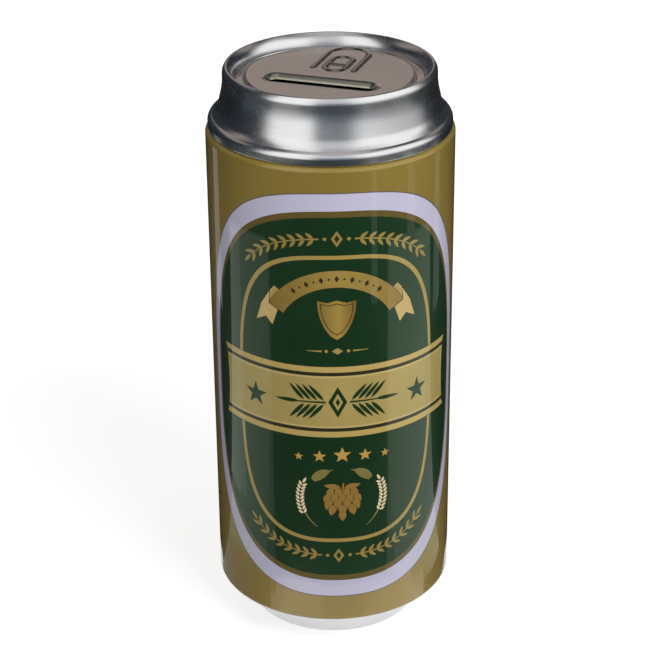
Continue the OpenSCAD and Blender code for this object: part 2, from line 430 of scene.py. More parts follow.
def ear(line, half_width, pairs, slant, fill=0.86):
    """Grains in chevron pairs up a line, slanted off it by an angle, with one grain at the tip."""
    p = np.array(line, float)
    run = np.r_[0, np.cumsum(np.linalg.norm(np.diff(p, axis=0), axis=1))]

    def at(d):
        """The point at a distance along the line."""
        return np.array([np.interp(d, run, p[:, 0]), np.interp(d, run, p[:, 1])])

    lean = math.tan(math.radians(slant))
    reach = half_width / lean
    pitch = (run[-1] - 1.5 * reach) / pairs
    width = fill * pitch * math.sin(math.radians(slant))
    shapes = []
    for i in range(pairs):
        here = at(i * pitch)
        along = unit(at(i * pitch + reach) - here)
        for k in (-1, 1):
            out = (along / lean + left_of(along) * k) * half_width
            shapes.append(seed(here + out, here + 0.1 * out, width))
    return shapes + [seed(at(run[-1]), at(pairs * pitch), width)]


# Middles of the label, its lower ornament and its band along the wall, and the inks

LABEL_S = -0.4
LOW_S = 0.7
BAND_S = -0.1

INKS = ["gold", "keyline", "white", "rim", "green", "line", "ribbon", "tail", "fold",
        "dark", "shield", "band", "edge", "stripe", "star", "grain", "awn", "cone", "sprig"]


def border():
    """Nested ovals: keyline, white border, brown-gold rim, green field and thin gold outline."""
    ovals = [  # ink, middle height, half width, half height, squareness
        ("keyline", 77.8, 42.65, 60.1, 2.8),
        ("white", 77.8, 42.3, 59.75, 2.8),
        ("rim", 78.0, 39.7, 54.9, 2.68),
        ("green", 78.0, 38.9, 53.2, 2.68),
        ("line", 78.1, 29.0, 42.65, 3.15),
        ("green", 78.1, 27.9, 41.55, 3.15),
    ]
    return [(ink, superellipse((LABEL_S, z), a, b, n)) for ink, z, a, b, n in ovals]


def ribbon():
    """An arched ribbon with folded swallow tails; small lozenges stand where the words were."""
    s0, z0, r_out, r_in, half = LABEL_S - 0.1, 95.45, 21.1, 16.4, 60
    tail_pts = [(-15.9, 103.95), (-17.4, 99.75), (-19.3, 101.85), (-22.3, 100.3),
                (-20.6, 105.4), (-17.8, 109.65), (-16.6, 111.05), (-14.6, 109.4)]
    fold_pts = [(-18.3, 105.9), (-17.5, 109.2), (-16.6, 111.05), (-14.9, 109.3)]
    left = [(ink, [(s0 + s, z) for s, z in pts]) for ink, pts in (("tail", tail_pts), ("fold", fold_pts))]
    crease = stroke([(s0 - 17.9, 109.4), (s0 - 18.25, 106.3)], 0.22)
    shapes = left + [(ink, mirrored(pts, s0)) for ink, pts in left]
    shapes += [("dark", crease), ("dark", mirrored(crease, s0))]

    def sector(r0, r1, a):
        outer = arc((s0, z0), r1, 90 + a, 90 - a, 2)
        return closed(np.vstack([outer, arc((s0, z0), r0, 90 - a, 90 + a, 2)]))

    shapes.append(("dark", sector(r_in - 0.12, r_out + 0.12, half + 0.7)))
    shapes.append(("ribbon", sector(r_in, r_out, half)))
    mid = (r_in + r_out) / 2
    for i in range(-6, 7):
        turn = 90 - 6.2 * i
        a = math.radians(turn)
        c = (s0 + mid * math.cos(a), z0 + mid * math.sin(a))
        shapes.append(("dark", dot(c, 0.3, turn) if i % 2 else lozenge(c, 0.95, 0.62, turn)))
    return shapes


def shield():
    """A plain heater shield with an inner line."""
    def outline(w, top, point, dip):
        """A shield of half width w; dip is the fall of its upper edge between the three peaks."""
        upper = [(-w, top), (-w * 0.5, top - dip), (0, top + 0.15), (w * 0.5, top - dip), (w, top)]
        t = np.linspace(0, 1, 12)
        right = np.c_[w * np.cos(t * np.pi / 2) ** 0.62, top - (top - point) * t ** 0.95]
        left = np.c_[-right[::-1, 0], right[::-1, 1]]
        return closed(np.vstack([upper, right[1:], left[1:-1]]) + (LABEL_S - 0.1, 0))

    return [("shield", outline(5.1, 108.0, 96.9, 0.55)),
            ("dark", outline(4.35, 107.2, 98.2, 0.45)),
            ("shield", outline(4.1, 106.95, 98.5, 0.42))]


def flourish():
    """A short tapering line on each side of a lozenge, under the shield."""
    s0, z0 = LABEL_S, 93.6
    shapes = [("line", lozenge((s0, z0), 1.5, 0.95))]
    for k in (-1, 1):
        shapes.append(("line", dot((s0 + 2.9 * k, z0), 0.45)))
        shapes.append(("line", stroke([(s0 + 4.1 * k, z0), (s0 + 8.2 * k, z0)], 0.5, (1, 0.25))))
    return shapes


def garland(top):
    """Leaf sprigs along the curve of the oval, meeting at a lozenge, at its top or its bottom."""
    s0, z0, a, n = LABEL_S, 78.05, 34.4, 2.75
    b, up = (47.3, 1) if top else (46.9, -1)

    def on(u, off=0.0):
        """A point u mm along from the middle and off mm outwards."""
        z = b * (1 - abs(u / a) ** n) ** (1 / n)
        slope = (b / a) * (abs(u / a) ** (n - 1)) * (abs(z / b) ** (1 - n)) * math.copysign(1, u)
        k = off / math.hypot(slope, 1.0)
        return np.array((s0 + u + slope * k, z0 + up * (z + k)))

    shapes = [("sprig", lozenge(on(0.0), 1.5, 2.2)), ("green", lozenge(on(0.0), 0.7, 1.1))]
    for k in (-1, 1):
        shapes.append(("sprig", dot(on(3.1 * k), 0.5)))
        stem = [on(k * u) for u in np.linspace(4.6, 24.5, 22)]
        shapes.append(("sprig", stroke(stem, 0.42, (1.1, 0.5))))
        for u in np.linspace(6.0, 22.6, 8):
            for side in (-1, 1):
                root, tip = on(k * u, 0.1 * side), on(k * (u + 1.9), side * 1.85)
                shapes.append(("sprig", seed(tip, root, 0.95)))
        shapes.append(("sprig", seed(on(k * 26.0), on(k * 24.0), 0.95)))
    return shapes


def band():
    """The pale band with its stripes, two stars and two ears of corn beside a lozenge."""
    s0, mid, half = BAND_S, 78.55, 7.75

    def bar(z_low, z_high, low, high):
        """A strip of half width low at its foot and high at its top."""
        return closed([(s0 - low, z_low), (s0 + low, z_low), (s0 + high, z_high), (s0 - high, z_high)])

    def main(inset):
        """The band itself, a little narrower in the middle of its height."""
        z = np.linspace(mid - half + inset, mid + half - inset, 9)
        side = 34.95 - inset - 0.45 * (1 - ((z - mid) / half) ** 2)
        return closed(np.vstack([np.c_[s0 + side, z], np.c_[s0 - side[::-1], z[::-1]]]))

    shapes = [
        ("dark", bar(67.9, 89.15, 35.5, 35.5)),
        ("stripe", bar(87.35, 89.0, 35.1, 35.9)),
        ("stripe", bar(68.05, 69.75, 35.9, 35.1)),
        ("edge", main(0.0)),
        ("band", main(0.55)),
    ]
    shapes += [("green", star((s, 77.95), 3.75)) for s in (-23.7, 22.9)]
    centre = (s0 - 0.3, mid)
    for ink, a, b in (("green", 2.5, 4.6), ("band", 1.35, 2.6), ("green", 0.6, 1.2)):
        shapes.append((ink, lozenge(centre, a, b)))
    for k in (-1, 1):
        line = [(centre[0] + k * (3.2 + u), mid) for u in np.linspace(0, 14.0, 12)]
        shapes += [("green", g) for g in ear(line, 5.2, 4, 48)]
        shapes.append(("green", stroke(line[:9], 0.6, (1.0, 0.5))))
    return shapes


def wreath():
    """Two ears of corn, each with a leaf and a stem, round a hop cone."""
    s0, z0, r = LOW_S - 0.1, 49.15, 11.55
    leaf_mid, leaf_r = (s0, z0 - 1.2), 10.4
    left = [("grain", g) for g in ear(arc((s0, z0), r, 206, 147, 3), 1.2, 9, 42, 1.0)]
    a = np.radians(np.linspace(139, 108, 12))
    half = 1.35 * np.sin(np.pi * np.linspace(0.12, 1, 12)) ** 0.7
    outer, inner = (np.c_[leaf_mid[0] + q * np.cos(a), leaf_mid[1] + q * np.sin(a)]
                    for q in (leaf_r + half, leaf_r - half))
    left.append(("awn", closed(np.vstack([outer, inner[::-1]]))))
    left.append(("awn", stroke(arc(leaf_mid, leaf_r, 110, 103, 2), 0.5, (1, 0.3))))
    stem = arc((s0 + 0.6, z0 + 0.4), r + 0.3, 207, 232, 3)
    left.append(("awn", stroke(stem, 0.5, (1, 0.4))))
    return left + [(ink, mirrored(pts, s0)) for ink, pts in left]


def hop_cone():
    """A hop cone: overlapping pointed bracts in rows, with a short stalk and two leaves."""
    s0, top = LOW_S, 52.4
    shapes = [("cone", stroke([(s0, top - 0.6), (s0 + 0.3, top + 1.6)], 0.55, (1, 0.7)))]
    for k in (-1, 1):
        shapes.append(("cone", seed((s0 + 5.0 * k, top + 0.9), (s0 + 0.5 * k, top + 0.1), 1.7)))
    rows = [(4, 3.4), (5, 4.3), (4, 4.0), (3, 2.9), (1, 0)]
    for i, (count, spread) in enumerate(rows):
        z = top - 0.3 - 1.75 * i
        for off in np.linspace(-spread, spread, count):
            tip, root = (s0 + 1.088 * off, z - 3.0), (s0 + 0.85 * off, z + 0.35)
            shapes.append(("dark", seed((tip[0], tip[1] - 0.25), root, 2.55)))
            shapes.append(("cone", seed(tip, root, 2.15)))
    return shapes


def small_stars():
    """Five stars in a shallow arch, the largest in the middle."""
    places = [(-11.8, 61.75, 1.3), (-6.1, 62.15, 1.9), (0, 62.55, 2.5), (6.2, 62.15, 1.9),
              (11.9, 61.75, 1.3)]
    return [("star", star((LOW_S + s, z), r, 0.42)) for s, z, r in places]


def print_shapes():
    """All printed shapes from the lowest layer of ink to the highest."""
    return (border() + garland(True) + garland(False) + ribbon() + shield() + flourish()
            + band() + small_stars() + wreath() + hop_cone())


# The sleeve

def seam_dip(angles, z):
    """Depth of the seam's line in the outer wall, at the back."""
    away = (np.pi - np.abs(angles)) * BODY_R
    across = step_up(SEAM_LINE_W / 2 - away, SEAM_LINE_EDGE)
    along = step_up(z - SEAM_LINE_LOW, SEAM_LINE_END) * step_up(SEAM_LINE_HIGH - z, SEAM_LINE_END)
    return -SEAM_LINE_D * across * along


def fold_dip(angles, z):
    """Inward step of the inner wall where the sheet is folded over beside the seam."""
    away = np.mod(np.pi - angles, 2 * np.pi) * WALL_R
    across = step_up(away, FOLD_EDGE) * step_up(SEAM_W - away, FOLD_EDGE)
    along = step_up(z - FOLD_LOW, FOLD_EDGE) * step_up(FOLD_HIGH - z, FOLD_EDGE)
    return -SHEET * across * along


def sleeve_angles():
    """Column angles: even steps, with extra ones at the edges of the seam's line and fold."""
    even = np.linspace(-np.pi, np.pi, SLEEVE_COLUMNS, endpoint=False)
    line = np.array([SEAM_LINE_W / 2 - SEAM_LINE_EDGE, SEAM_LINE_W / 2]) / BODY_R
    fold = np.array([FOLD_EDGE, SEAM_W - FOLD_EDGE, SEAM_W]) / WALL_R
    extra = np.concatenate([np.pi - line, line - np.pi, np.pi - fold])
    return np.unique(np.round(np.concatenate([even, extra]), 6))


def printed_wall(skin, angles, z0, z1):
    """The outer wall, cut along the printed shapes, so that each ink has its own faces."""
    half = np.pi * BODY_R
    rows = sorted({z0, z1, SEAM_LINE_LOW, SEAM_LINE_LOW + SEAM_LINE_END,
                   SEAM_LINE_HIGH, SEAM_LINE_HIGH - SEAM_LINE_END, *WALL_ROWS})
    verts, edges, faces, inks = [], [], [], []

    def point(s, z):
        verts.append((s, z))
        return len(verts) - 1

    for s in [a * BODY_R for a in angles] + [half]:
        edges.append([point(s, z0), point(s, z1)])
    for z in rows:
        edges.append([point(-half, z), point(half, z)])
    for ink, pts in print_shapes():
        if turns_right(pts):
            pts = pts[::-1]
        faces.append([point(s, z) for s, z in pts])
        inks.append(INKS.index(ink))
    flat, tris, owners = triangulated(verts, edges, faces, True)
    owned = np.array([inks[max(own)] if own else 0 for own in owners])
    s, z = flat.T
    a = np.where(s > half - SEAM_CLOSE, -np.pi, s / BODY_R)
    r = BODY_R + seam_dip(a, z)
    ids = skin.add(np.c_[r * np.sin(a), -r * np.cos(a), z], np.c_[np.sin(a), -np.cos(a), 0 * a])
    sliver = (np.abs(s[tris]) > half - SEAM_CLOSE).all(1)
    skin.faces(ids[tris[~sliver]], owned[~sliver])


def build_sleeve(materials):
    """The sleeve between its curls, printed outside; its last material is the bare inside."""
    skin = Skin()
    angles = sleeve_angles()
    c = BODY_R - CURL_R
    low = arc((c, BODY_LIFT + CURL_R), CURL_R, 360 - CURL_TURN, 360, CURL_STEP)
    high = arc((c, BODY_TOP - CURL_R), CURL_R, 0, CURL_TURN, CURL_STEP)
    n_low, n_high = left_normals(low), left_normals(high)
    n_low[-1] = n_high[0] = (-1, 0)
    first, _ = lathe(skin, low, -n_low, angles)
    _, last = lathe(skin, high, -n_high, angles)
    printed_wall(skin, angles, low[-1][1], high[0][1])
    middle = [(WALL_R, z) for z in (FOLD_LOW, FOLD_LOW + FOLD_EDGE, FOLD_HIGH - FOLD_EDGE, FOLD_HIGH)]
    inner = np.vstack([low + n_low * SHEET, middle, high + n_high * SHEET])
    n_inner = np.vstack([n_low, np.tile((-1.0, 0.0), (len(middle), 1)), n_high])
    in_first, in_last = lathe(skin, inner, n_inner, angles, len(INKS), fold_dip)
    end_ring(skin, first, in_first, angles, low[::-1])
    end_ring(skin, last, in_last, angles, high)
    return skin.build("printed_sleeve", materials)


# The lid

def slot_distance(x, y):
    """Distance from the slot's opening in the lid's own frame, negative inside it."""
    reach = (SLOT_LEN - SLOT_GAP) / 2
    return np.hypot(np.maximum(np.abs(x) - reach, 0), y + SLOT_FRONT) - SLOT_GAP / 2


def embossing_lines():
    """The ring-pull's lines as segments (ends) and arcs (centre, radius, half it lies on)."""
    bend_y = TAB_BACK - TAB_W / 2
    leg = TAB_LEN - TAB_W / 2
    far_y = LOOP_BACK + LOOP_LEN - LOOP_W / 2
    near_y = LOOP_BACK + LOOP_W / 2
    bar_y = LOOP_BACK + BAR_AT
    segments = [((k * TAB_W / 2, bend_y), (k * TAB_W / 2, bend_y - leg)) for k in (-1, 1)]
    segments += [((k * LOOP_W / 2, near_y), (k * LOOP_W / 2, far_y)) for k in (-1, 1)]
    segments.append(((-LOOP_W / 2, bar_y), (LOOP_W / 2, bar_y)))
    arcs = [((0, bend_y), TAB_W / 2, 1), ((0, far_y), LOOP_W / 2, 1), ((0, near_y), LOOP_W / 2, -1)]
    return segments, arcs


def line_distance(x, y):
    """Distance from the nearest line of the ring-pull."""
    segments, arcs = embossing_lines()
    best = np.full_like(x, 1e9)
    for (ax, ay), (bx, by) in segments:
        dx, dy = bx - ax, by - ay
        t = np.clip(((x - ax) * dx + (y - ay) * dy) / (dx * dx + dy * dy), 0, 1)
        best = np.minimum(best, np.hypot(x - ax - t * dx, y - ay - t * dy))
    for (cx, cy), r, side in arcs:
        d = np.abs(np.hypot(x - cx, y - cy) - r)
        best = np.where((y - cy) * side >= 0, np.minimum(best, d), best)
    return best


def panel_height(x, y):
    """Height over the flat panel: the lip turned down round the slot and the raised lines. The
    lip runs on a little way into the opening, for the normals at its edge."""
    lip_r = LIP_W / math.sin(LIP_TURN)
    into = np.clip(LIP_W - slot_distance(x, y), 0, LIP_W + 0.1)
    lip = -(lip_r - np.sqrt(lip_r ** 2 - into ** 2))
    t = step_up(line_distance(x, y), LINE_REACH)
    inside = step_up(LINE_LIMIT_R - np.hypot(x, y), LINE_FADE)
    return lip + LINE_H * (1 - t ** 2) ** 2 * inside


def stadium(off, steps=24, along=31):
    """Ring of points at a distance outside the slot's opening."""
    r, reach = SLOT_GAP / 2 + off, (SLOT_LEN - SLOT_GAP) / 2
    right = arc((reach, -SLOT_FRONT), r, -90, 90, 180 / steps)
    left = arc((-reach, -SLOT_FRONT), r, 90, 270, 180 / steps)
    sides = np.linspace(-reach, reach, along + 2)[1:-1]
    top = np.c_[sides[::-1], np.full(along, r - SLOT_FRONT)]
    bottom = np.c_[sides, np.full(along, -r - SLOT_FRONT)]
    return np.vstack([right, top, left, bottom])


def panel_points(rim_r, angles):
    """Points of the flat panel and its fixed edges: the rim, the rings round the slot, a fine
    grid under the ring-pull's lines and a coarse one elsewhere."""
    verts, edges = [], []
    for ring in [around(angles, rim_r, 0, 0, 1)[0][:, :2], *map(stadium, SLOT_RINGS)]:
        first, n = len(verts), len(ring)
        verts += closed(ring)
        edges += [(first + i, first + (i + 1) % n) for i in range(n)]
    margin, apart, rim_gap = LINE_REACH + 0.15, 0.35, 0.12
    xs, ys = np.meshgrid(np.arange(-TAB_W / 2 - margin, TAB_W / 2 + margin, FINE_GRID),
                         np.arange(LOOP_BACK - margin, TAB_BACK + margin, FINE_GRID))
    xs += (np.arange(xs.shape[0]) % 2)[:, None] * FINE_GRID / 2
    near = (line_distance(xs, ys) < margin) & (np.hypot(xs, ys) < rim_r - rim_gap)
    verts += closed(np.c_[xs[near], ys[near]])
    steps = np.arange(-PANEL_R, PANEL_R, COARSE_GRID)
    xs, ys = np.meshgrid(steps, steps)
    keep = ((np.hypot(xs, ys) < rim_r - 2 * apart) & (line_distance(xs, ys) > margin + apart)
            & (slot_distance(xs, ys) > SLOT_RINGS[-1] + apart))
    return verts + closed(np.c_[xs[keep], ys[keep]]), edges


def panel_normals(x, y, e=0.01):
    """Unit normals of the panel's top face, from heights e to each side."""
    gx = (panel_height(x + e, y) - panel_height(x - e, y)) / (2 * e)
    gy = (panel_height(x, y + e) - panel_height(x, y - e)) / (2 * e)
    return unit(np.c_[-gx, -gy, np.ones_like(x)])


def panel_mesh(skin, rim_r, angles):
    """The panel's top and bottom faces out to its rim, with the slot cut out and its edge closed."""
    verts, edges = panel_points(rim_r, angles)
    p, tris, _ = triangulated(verts, edges, [], False)
    x, y = p.T
    no = panel_normals(x, y)
    top = np.c_[x, y, panel_height(x, y) + PANEL_Z]
    upper, lower = skin.add(top, no), skin.add(top - no * SHEET, -no)
    off = slot_distance(*p[tris].mean(1).T)
    tris, off = tris[off > 0], off[off > 0]
    # The top faces near the slot take the second, darker material: painted shade round the turned-down lip.
    skin.faces(upper[tris], (off < LIP_SHADE_W).astype(int))
    skin.faces(lower[tris])
    ring = stadium(0)
    near = np.hypot(x[:, None] - ring[:, 0], y[:, None] - ring[:, 1]).argmin(0)
    inward = left_of(unit(np.roll(ring, -1, axis=0) - np.roll(ring, 1, axis=0)))
    facing = unit(np.c_[inward, np.full(len(ring), -math.tan(LIP_TURN))])
    skin.cut_edge(upper[near], lower[near], facing)


def add_painted_line_shade(mesh):
    """Marks the flanks of the ring-pull's raised lines with a weight for painted shade, which mixes the
    metal darker there.
    """
    x, y, _ = np.array([v.co for v in mesh.vertices]).T / MM
    c, s = math.cos(math.radians(LID_TURN)), math.sin(math.radians(LID_TURN))
    t = step_up(line_distance(c * x - s * y, s * x + c * y), LINE_REACH)
    mesh.attributes.new("painted_line_shade", "FLOAT", "POINT").data.foreach_set("value", 4 * t * (1 - t))


def build_lid(materials):
    """The lid in its own frame, then turned and lifted to its place; its materials are the bright metal and
    a darker one painted as shade round the slot.
    """
    skin = Skin()
    angles = np.linspace(-np.pi, np.pi, LID_COLUMNS, endpoint=False)
    path = lid_path()[1:]
    n = left_normals(path)
    n[0] = (0, 1)
    panel_mesh(skin, path[0][0], angles)
    _, top = lathe(skin, path, n, angles)
    _, under = lathe(skin, path - n * SHEET, -n, angles)
    end_ring(skin, top, under, angles, path)
    skin.turned(-LID_TURN, LID_Z)
    lid = skin.build("drawn_lid", materials)
    add_painted_line_shade(lid.data)
    return lid


def build_base(material):
    """The base in its place, both faces of its sheet."""
    skin = Skin()
    angles = np.linspace(-np.pi, np.pi, SLEEVE_COLUMNS, endpoint=False)
    path = base_path()
    n = left_normals(path)
    n[0] = (0, 1)
    _, under = lathe(skin, path, -n, angles)
    _, inside = lathe(skin, path + n * SHEET, n, angles)
    end_ring(skin, under, inside, angles, path)
    return skin.build("drawn_base", [material])


# Materials

def srgb(r, g, b):
    """Linear colour from 8-bit screen values."""
    def lin(v):
        v /= 255
        return v / 12.92 if v <= 0.04045 else ((v + 0.055) / 1.055) ** 2.4
    return (lin(r), lin(g), lin(b), 1.0)


def add_node(tree, kind, props=None, **inputs):
    """Adds a shader node and sets or links its inputs; one named _3 is input number 3."""
    node = tree.nodes.new("ShaderNode" + kind)
    for key, value in (props or {}).items():
        setattr(node, key, value)
    for key, value in inputs.items():
        socket = node.inputs[int(key[1:]) if key[0] == "_" else key]
        if isinstance(value, bpy.types.NodeSocket):
            tree.links.new(value, socket)
        else:
            socket.default_value = value
    return node


class Shader:
    """A node material and short ways to add nodes to it."""

    def __init__(self, name, **settings):
        self.mat = bpy.data.materials.new(name)
        self.mat.use_nodes = True
        self.tree = self.mat.node_tree
        self.bsdf = self.tree.nodes["Principled BSDF"]
        for key, value in settings.items():
            self.bsdf.inputs[key.replace("_", " ")].default_value = value

    def add(self, kind, props=None, **inputs):
        return add_node(self.tree, kind, props, **inputs)

    def link(self, out, name):
        self.tree.links.new(out, self.bsdf.inputs[name])

    def place(self):
        """The point on the object, in metres."""
        return self.add("TexCoord").outputs["Object"]

    def math(self, operation, *values):
        """A sum or other operation on values or sockets."""
        numbered = {f"_{i}": value for i, value in enumerate(values)}
        return self.add("Math", {"operation": operation}, **numbered).outputs[0]

    def noise(self, scale, detail, rough, stretch=(1, 1, 1)):
        where = self.add("Mapping", Vector=self.place(), Scale=stretch).outputs[0]
        return self.add("TexNoise", Vector=where, Scale=scale, Detail=detail,
                        Roughness=rough).outputs["Fac"]

    def ramp(self, fac, stops):
        """The colour at fac between stops of (position, colour)."""
        node = self.add("ValToRGB", Fac=fac)
        row = node.color_ramp.elements
        while len(row) < len(stops):
            row.new(0.5)
        for e, (at, colour) in zip(row, stops):
            e.position, e.color = at, colour
        return node.outputs["Color"]

    def span(self, value, a, b, c, d):
        """Maps a value from the range a to b onto c to d."""
        return self.add("MapRange", Value=value, _1=a, _2=b, _3=c, _4=d).outputs[0]

    def bump(self, height, strength, distance):
        node = self.add("Bump", Height=height, Strength=strength, Distance=distance)
        self.link(node.outputs[0], "Normal")


def tint(colour, k):
    """A colour made k times as bright, up to 1."""
    return tuple(min(1.0, c * k) for c in colour[:3]) + (1.0,)


def ink(name, colour, metallic=0.0, roughness=0.42, spread=0.06, ends=None, span=0.02):
    """Ink under clear varnish. spread is how far its brightness strays, and ends are two colours
    that it fades to over span metres to the left and right of the label's middle."""
    sh = Shader(name, Metallic=metallic, IOR=1.47, Coat_Weight=1.0, Coat_Roughness=0.035,
                Coat_IOR=1.47, Specular_IOR_Level=0.25)
    grain = sh.noise(2600, 2, 0.6)
    cloud = sh.noise(55, 3, 0.5)
    if ends:
        x = sh.add("SeparateXYZ", Vector=sh.place()).outputs["X"]
        base = sh.ramp(sh.span(x, -span, span, 0, 1), [(0.0, ends[0]), (0.5, colour), (1.0, ends[1])])
    else:
        base = sh.ramp(cloud, [(0.3, tint(colour, 1 - spread / 2)), (0.7, tint(colour, 1 + spread / 2))])
    value = sh.span(sh.math("ADD", grain, cloud), 0.6, 1.4, 1 - spread, 1 + spread)
    sh.link(sh.add("HueSaturation", Color=base, Value=value).outputs[0], "Base Color")
    sh.link(sh.span(grain, 0.2, 0.8, roughness - 0.06, roughness + 0.06), "Roughness")
    sh.bump(sh.noise(38, 2, 0.4), strength=0.05, distance=0.0006)
    return sh.mat


def tinplate(name, colour, roughness, grain=0.5, line_shade_colour=None):
    """Bright tinplate: fine rolling grain and soft mottling. The last argument, if given, is a darker colour
    painted as shade on the flanks of the ring-pull's lines.
    """
    sh = Shader(name, Metallic=1.0, IOR=2.0)
    rolled = sh.noise(900, 4, 0.6, stretch=(0.06, 1, 1))
    fine = sh.noise(3800, 3, 0.6)
    cloud = sh.noise(70, 4, 0.55)
    base = sh.ramp(cloud, [(0.3, tint(colour, 0.94)), (0.7, tint(colour, 1.03))])
    # Painted shade: on the flanks of the raised lines the base colour is mixed towards the darker colour.
    if line_shade_colour:
        flank = sh.add("Attribute", {"attribute_name": "painted_line_shade"}).outputs["Fac"]
        base = sh.add("Mix", {"data_type": "RGBA"}, _0=flank, _6=base, _7=line_shade_colour).outputs[2]
    sh.link(base, "Base Color")
    mottle = sh.math("ADD", rolled, cloud)
    sh.link(sh.span(mottle, 0.6, 1.4, roughness - 0.05, roughness + 0.06), "Roughness")
    sh.bump(sh.math("ADD", rolled, fine), strength=grain, distance=0.00002)
    return sh.mat


def print_materials():
    """One material for each ink, in the order of INKS."""
    looks = {
        "gold": ink("lacquer_gold", srgb(142, 121, 55), 0.25),
        "keyline": ink("ink_keyline", srgb(104, 92, 84)),
        "white": ink("ink_lavender_white", srgb(188, 185, 208), roughness=0.4, spread=0.02),
        "rim": ink("ink_rim_brown", srgb(99, 83, 38), 0.1),
        "green": ink("ink_bottle_green", srgb(15, 48, 22), roughness=0.4, spread=0.08),
        "line": ink("ink_line_gold", srgb(166, 142, 78), 0.1),
        "ribbon": ink("ink_ribbon_gold", srgb(160, 136, 66), 0.1,
                      ends=(srgb(126, 102, 46), srgb(140, 114, 58))),
        "tail": ink("ink_tail_gold", srgb(196, 170, 108), 0.1),
        "fold": ink("ink_fold_gold", srgb(168, 142, 84), 0.1),
        "dark": ink("ink_dark_brown", srgb(44, 42, 24)),
        "shield": ink("ink_shield_gold", srgb(164, 138, 64), 0.1,
                      ends=(srgb(132, 110, 52), srgb(118, 92, 40)), span=0.0045),
        "band": ink("ink_band_pale_gold", srgb(172, 152, 90), 0.1),
        "edge": ink("ink_band_edge", srgb(196, 174, 112), 0.1),
        "stripe": ink("ink_stripe_gold", srgb(190, 165, 96), 0.1),
        "star": ink("ink_star_gold", srgb(190, 152, 76), 0.1),
        "grain": ink("ink_grain_cream", srgb(224, 206, 166)),
        "awn": ink("ink_awn_olive", srgb(126, 114, 60)),
        "cone": ink("ink_cone_gold", srgb(148, 116, 54), 0.1),
        "sprig": ink("ink_sprig_gold", srgb(150, 128, 66), 0.1),
    }
    return [looks[name] for name in INKS]


# Pieces

def make_object():
    """The three pieces in their materials, each in place of its CAD node."""
    # The bright lid metal carries painted shade on the flanks of its raised lines.
    bright = tinplate("tinplate_lid", (0.68, 0.69, 0.71, 1), 0.24, 0.12, line_shade_colour=(0.3, 0.26, 0.23, 1))
    # The lip's metal is darker and olive: painted shade round the slot.
    lip_shade_metal = tinplate("tinplate_lip_painted_shade", (0.4, 0.385, 0.32, 1), 0.3, 0.3)
    inside = tinplate("tinplate_inside", (0.5, 0.5, 0.5, 1), 0.42)
    pale = tinplate("tinplate_base", (0.66, 0.66, 0.66, 1), 0.3)
    sleeve = build_sleeve(print_materials() + [inside])
    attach(sleeve, "can")
    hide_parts("body_shell")
    lid = build_lid([bright, lip_shade_metal])
    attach(lid, "lid")
    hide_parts("lid")
    base = build_base(pale)
    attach(base, "can")
    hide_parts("base")


# Stage: floor, soft lights, dark studio cards and camera, in metres.
# Directions are angles round the can from the camera, positive to the right, and elevations.

CAMERA_TURN = 3.1
CAMERA_RISE = 26.16
CAMERA_ROLL = -0.46
CAMERA_REACH = 0.5531
CAMERA_LENS = 108.12
CAMERA_SHIFT = 0.00075
LOOK_Z = 0.08288
LID_MIDDLE = (0, 0, 0.15)
FLOOR_HALF = 4.0
AMBIENT = 0.2

# Lamps, which mirrors don't see: name, turn, elevation and power
LAMP_SIZE = 0.5
LAMP_REACH = 1.3
LAMP_Z = 0.08
LAMPS = [("key", 36, 42, 9.2), ("fill", 205, 35, 4.5)]

# Cards that light the object and show in its metal: name, turns, elevations, distance, colour and soft edges
BOX = tuple(1.3 * k for k in (1, 0.985, 0.96))
WING = (0.36, 0.31, 0.28)
LIGHT_CARDS = [
    ("soft_left", (-70, -10), (-15, 72), 0.5, BOX, (0.2, 0.2)),
    ("soft_right", (13, 114), (-15, 72), 0.5, BOX, (0.2, 0.35)),
    ("ceiling", (-42, 46), (-4, 82), 0.6, (0.72, 0.72, 0.73), (0.35, 0.42)),
    ("overhead", (0, 360), (69, 90), 0.9, (0.62, 0.59, 0.56), None),
    ("back_wall", (164, 208), (13, 45), 1.1, (0.45, 0.365, 0.31), (0.12, 0.15)),
    ("wing_left", (-160, -92), (24, 46), 1.15, WING, (0.12, 0.2)),
    ("wing_right", (116, 158), (24, 46), 1.15, WING, (0.12, 0.2)),
]

# Dark cards that only mirrors see: name, turns, elevations, distance, colour and cells
DARK_CARDS = [
    ("dark_dome", (0, 360), (-12, 90), 1.3, (0.022, 0.029, 0.038), (24, 8)),
    ("dark_front", (-50, 54), (-12, 66), 1.1, (0.12, 0.145, 0.17), (10, 6)),
]

